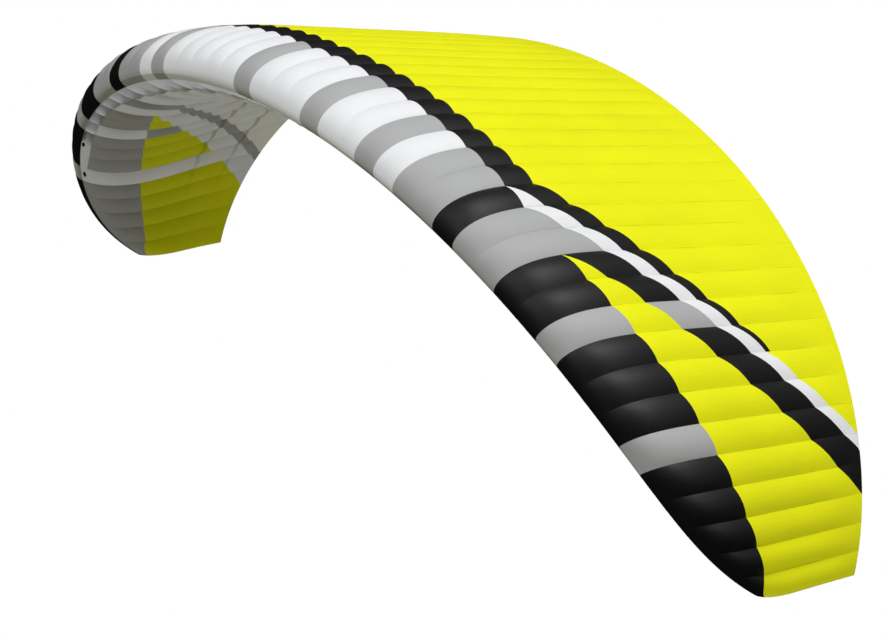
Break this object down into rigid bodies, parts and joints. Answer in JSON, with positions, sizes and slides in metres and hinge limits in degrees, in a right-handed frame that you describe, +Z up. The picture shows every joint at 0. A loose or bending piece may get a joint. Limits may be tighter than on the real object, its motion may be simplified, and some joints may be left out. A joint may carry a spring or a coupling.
{
  "type": "inflated paraglider canopy",
  "caption": "Arched ram-air paraglider canopy: billowed upper and lower cloth skins over airfoil ribs, with air intakes under a rounded nose and a thin swept trailing edge.",
  "frame": {"origin": "on the lower skin in the middle of the span, 30 % of the chord behind the leading edge, where the pull of the suspension lines is centred", "axes": "+X along the span to the right wing tip, +Y backwards to the trailing edge, +Z up"},
  "size_m": [8.9484, 2.9454, 2.896],
  "materials": {
    "white_ripstop": "coated ripstop nylon, faint sheen",
    "black_ripstop": "coated ripstop nylon, soft sheen",
    "yellow_ripstop": "coated ripstop nylon, soft sheen",
    "grey_ripstop": "coated ripstop nylon, faint sheen",
    "rib_cloth": "hard-coated nylon rib cloth, matt"
  },
  "bodies": {
    "root": {"nose_panel_01": "black_ripstop", "upper_panel_01": "yellow_ripstop", "lower_panel_01": "yellow_ripstop", "nose_panel_02": "black_ripstop", "upper_panel_02": "yellow_ripstop", "lower_panel_02": "yellow_ripstop", "nose_panel_03": "black_ripstop", "upper_panel_03": "white_ripstop", "lower_panel_03": "white_ripstop", "nose_panel_04": "grey_ripstop", "upper_panel_04": "white_ripstop", "lower_panel_04": "white_ripstop", "nose_panel_05": "white_ripstop", "upper_panel_05": "white_ripstop", "lower_panel_05": "white_ripstop", "nose_panel_06": "white_ripstop", "upper_panel_06": "white_ripstop", "lower_panel_06": "white_ripstop", "nose_panel_07": "grey_ripstop", "upper_panel_07": "white_ripstop", "lower_panel_07": "white_ripstop", "nose_panel_08": "black_ripstop", "upper_panel_08": "white_ripstop", "lower_panel_08": "white_ripstop", "nose_panel_09": "black_ripstop", "upper_panel_09": "yellow_ripstop", "lower_panel_09": "yellow_ripstop", "nose_panel_10": "black_ripstop", "upper_panel_10": "yellow_ripstop", "lower_panel_10": "yellow_ripstop", "rib_00": "rib_cloth", "rib_02": "rib_cloth", "rib_04": "rib_cloth", "rib_06": "rib_cloth", "rib_08": "rib_cloth", "rib_10": "rib_cloth", "rib_12": "rib_cloth", "rib_14": "rib_cloth", "rib_16": "rib_cloth", "rib_18": "rib_cloth", "rib_20": "rib_cloth", "rib_22": "rib_cloth", "rib_24": "rib_cloth", "rib_26": "rib_cloth", "rib_28": "rib_cloth", "rib_30": "rib_cloth", "rib_32": "rib_cloth", "rib_34": "rib_cloth", "rib_36": "rib_cloth", "rib_38": "rib_cloth", "rib_40": "rib_cloth", "rib_42": "rib_cloth", "rib_44": "rib_cloth", "rib_46": "rib_cloth", "rib_48": "rib_cloth", "rib_50": "rib_cloth"}
  },
  "joints": []
}
